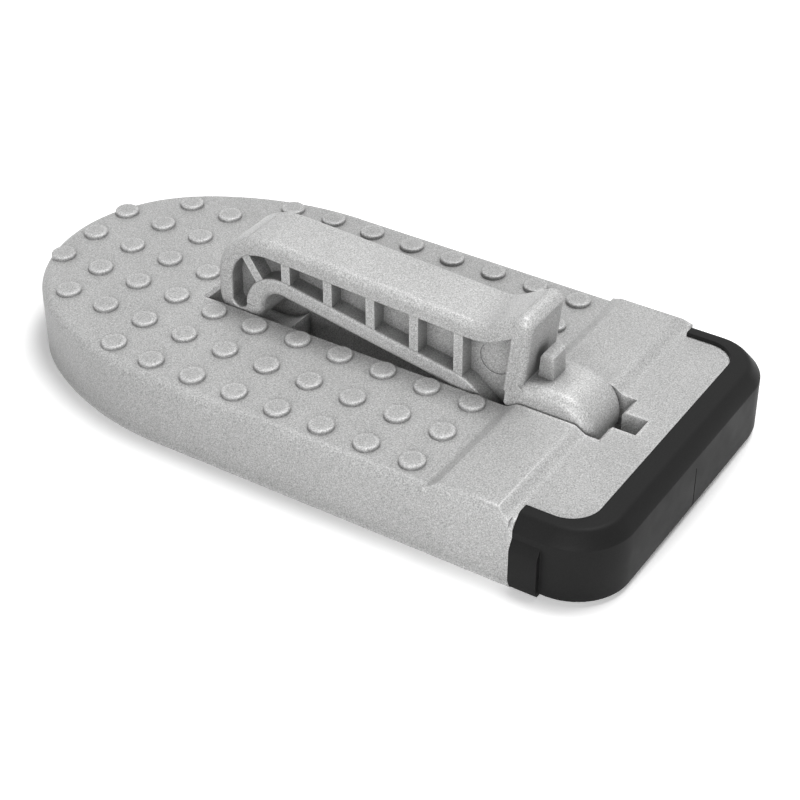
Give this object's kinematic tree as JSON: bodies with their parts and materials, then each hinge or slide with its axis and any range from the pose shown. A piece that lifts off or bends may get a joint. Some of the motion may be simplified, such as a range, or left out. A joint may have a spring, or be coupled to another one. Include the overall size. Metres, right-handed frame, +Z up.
{
  "type": "car door step",
  "caption": "Folding door-latch step: studded D-shaped tread plate, ribbed hook arm hinged in a slot and a rubber bumper round the square end.",
  "frame": {"origin": "bottom centre of the bounding box with the arm folded down", "axes": "+X along the step towards the rubber bumper and the car, +Y across it along the hinge pin, +Z up out of the tread"},
  "size_m": [0.1675, 0.0866, 0.0396],
  "materials": {
    "cast_plate": "shot-blasted die casting, satin, fine grain",
    "cast_arm": "shot-blasted die casting, satin, fine grain",
    "pin_steel": "ground steel",
    "cap_steel": "zinc-plated sheet",
    "screw_steel": "zinc-plated",
    "bumper_rubber": "matte black moulded rubber"
  },
  "bodies": {
    "plate": {"tread_plate": "cast_plate", "hinge_pin": "pin_steel", "bumper": "bumper_rubber", "pin_cap_near": "cap_steel", "pin_cap_far": "cap_steel", "cap_screw_1": "screw_steel", "cap_screw_2": "screw_steel", "cap_screw_3": "screw_steel", "cap_screw_4": "screw_steel"},
    "arm": {"hook_arm": "cast_arm"}
  },
  "joints": [
    {"name": "arm_fold", "type": "hinge", "parent": "plate", "child": "arm", "pos_m": [0.05355, 0, 0.014], "axis": [0, 1, 0], "range_deg": [0, 95]}
  ]
}
